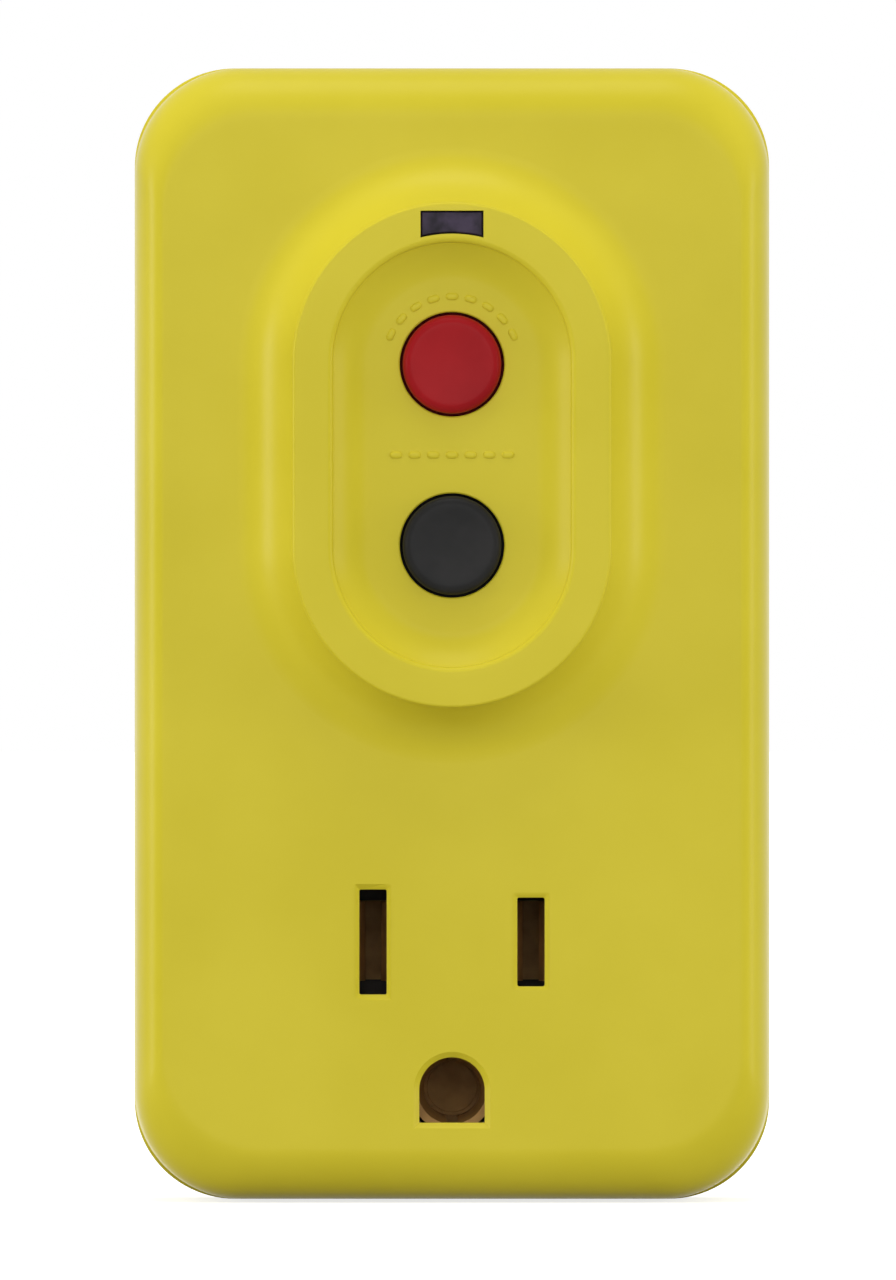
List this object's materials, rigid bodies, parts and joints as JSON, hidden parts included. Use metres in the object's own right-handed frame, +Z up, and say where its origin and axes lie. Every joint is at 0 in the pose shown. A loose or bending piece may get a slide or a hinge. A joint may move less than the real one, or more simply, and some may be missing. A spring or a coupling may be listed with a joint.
{
  "type": "plug-in residual current adapter",
  "caption": "Plug-in residual-current protected socket adapter with a grounded outlet, test and reset buttons on a raised pad, and blades with a ground pin behind.",
  "frame": {"origin": "on the flat rear face, midway between the two plug blades", "axes": "+Y out of the rear face along the blades, into the wall; +Z up along the housing's length, towards the buttons; +X to the right as seen from the front"},
  "size_m": [0.0514, 0.0577, 0.0916],
  "materials": {
    "yellow_housing": "moulded satin",
    "red_button": "moulded satin",
    "black_button": "moulded satin",
    "smoked_window": "polished",
    "dark_plastic": "moulded",
    "black_plastic": "moulded",
    "white_plastic": "moulded",
    "ochre_plastic": "dipped",
    "blue_coating": "dipped",
    "white_wire": "smooth insulation",
    "board": "solder mask",
    "lamp": "clear tinted",
    "steel": "zinc plated",
    "spring_steel": "drawn wire",
    "silver": "contact faces",
    "brass": "bright",
    "winding": "enamelled wire",
    "core_metal": "coated"
  },
  "bodies": {
    "housing": {"front_cover": "yellow_housing", "rear_cover": "yellow_housing", "cover_screws": "steel", "indicator_lens": "smoked_window", "indicator_led": "lamp", "led_spacer": "black_plastic", "circuit_board": "board", "board_screws": "steel", "mechanism_frame": "white_plastic", "arm_posts": "brass", "neutral_contact": "brass", "hot_contact": "brass", "fixed_rivets": "silver", "ground_contact": "brass", "ground_pin": "brass", "neutral_blade": "brass", "hot_blade": "brass", "outlet_block": "dark_plastic", "solenoid_bobbin": "white_plastic", "solenoid_winding": "winding", "solenoid_yoke": "steel", "leaf_post": "brass", "test_stud": "brass", "core_housing": "black_plastic", "neutral_core": "core_metal", "differential_core": "core_metal", "neutral_lead": "white_wire", "hot_lead": "black_plastic", "surge_varistor": "blue_coating", "smoothing_capacitor": "black_plastic", "film_capacitor": "ochre_plastic", "trip_thyristor": "black_plastic", "sensing_chip": "black_plastic", "resistors": "ochre_plastic", "test_spring": "spring_steel", "reset_spring": "spring_steel", "plunger_spring": "spring_steel"},
    "test_push": {"test_button": "red_button"},
    "reset_push": {"reset_button": "black_button"},
    "carriage": {"lifter": "white_plastic", "latch_spring": "spring_steel"},
    "latch": {"latch_plate": "steel"},
    "plunger": {"solenoid_plunger": "steel"},
    "neutral_side": {"neutral_arm": "brass", "neutral_rivet": "silver"},
    "hot_side": {"hot_arm": "brass", "hot_rivet": "silver"},
    "leaf": {"test_leaf": "brass"}
  },
  "joints": [
    {"name": "test_button_press", "type": "slide", "parent": "housing", "child": "test_push", "axis": [0, 1, 0], "range_m": [0, 0.0015], "stiffness_N_per_m": 400, "deforming": ["test_spring"]},
    {"name": "reset_button_press", "type": "slide", "parent": "housing", "child": "reset_push", "axis": [0, 1, 0], "range_m": [0, 0.0022], "stiffness_N_per_m": 400, "deforming": ["reset_spring"]},
    {"name": "test_leaf_flex", "type": "hinge", "parent": "housing", "child": "leaf", "pos_m": [-0.0074, -0.0162, 0.04643], "axis": [0, 0, 1], "range_deg": [0, 12.5]},
    {"name": "lifter_lift", "type": "slide", "parent": "housing", "child": "carriage", "axis": [0, -1, 0], "range_m": [0, 0.0018], "stiffness_N_per_m": 400},
    {"name": "neutral_arm_flex", "type": "hinge", "parent": "housing", "child": "neutral_side", "pos_m": [-0.0125, -0.0195, 0.04598], "axis": [-1, 0, 0], "range_deg": [0, 7.5]},
    {"name": "hot_arm_flex", "type": "hinge", "parent": "housing", "child": "hot_side", "pos_m": [0.0125, -0.0195, 0.04598], "axis": [-1, 0, 0], "range_deg": [0, 7.5]},
    {"name": "plunger_stroke", "type": "slide", "parent": "housing", "child": "plunger", "axis": [0, 0, 1], "range_m": [0, 0.0012], "stiffness_N_per_m": 300, "deforming": ["plunger_spring"]},
    {"name": "latch_slide", "type": "slide", "parent": "carriage", "child": "latch", "axis": [0, 0, 1], "range_m": [0, 0.0012], "deforming": ["latch_spring"]}
  ],
  "couplings": [
    {"joint": "test_leaf_flex", "follows": "test_button_press", "rad_per_m": 142.86},
    {"joint": "neutral_arm_flex", "follows": "lifter_lift", "rad_per_m": 70.922},
    {"joint": "hot_arm_flex", "follows": "lifter_lift", "rad_per_m": 70.922},
    {"joint": "latch_slide", "follows": "plunger_stroke", "ratio": 1}
  ]
}
